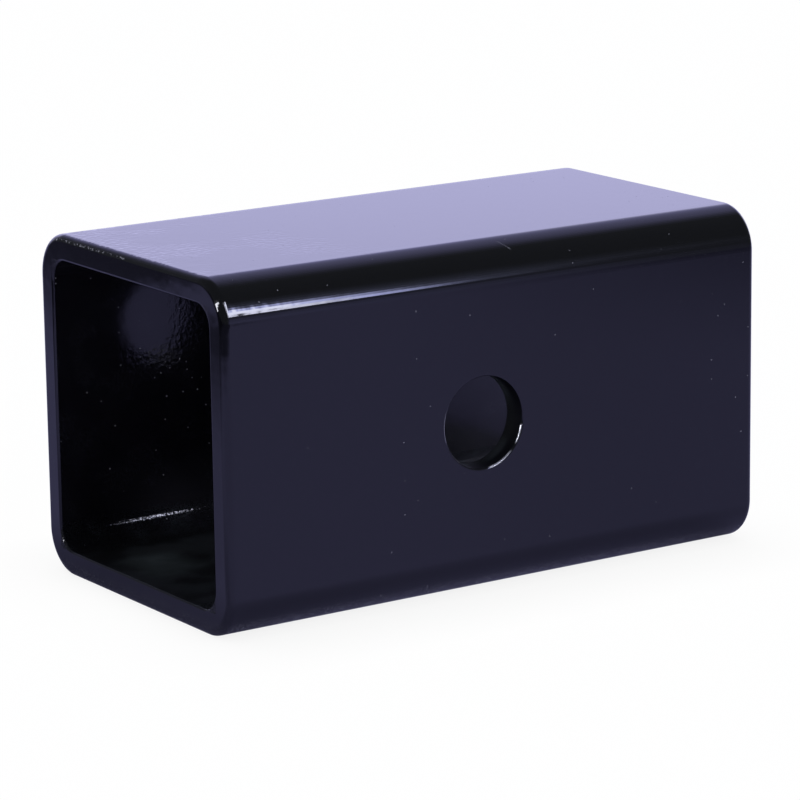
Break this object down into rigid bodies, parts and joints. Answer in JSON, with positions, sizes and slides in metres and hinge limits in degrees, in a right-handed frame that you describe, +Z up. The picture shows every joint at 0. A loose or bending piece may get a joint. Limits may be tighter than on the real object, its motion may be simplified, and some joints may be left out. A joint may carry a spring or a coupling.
{
  "type": "hitch reducer sleeve",
  "caption": "Short square steel tube with rounded corners, open at both ends and drilled across for a hitch pin, which fits a narrower shank to a wider receiver.",
  "frame": {"origin": "where the axis of the pin hole crosses the middle line of the tube", "axes": "+X along the tube, away from the mouth that the picture shows; +Y along the pin hole, away from the side that the picture shows; +Z up"},
  "size_m": [0.115, 0.0636, 0.0636],
  "materials": {
    "black_coat": "gloss black coat"
  },
  "bodies": {
    "root": {"sleeve": "black_coat"}
  },
  "joints": []
}
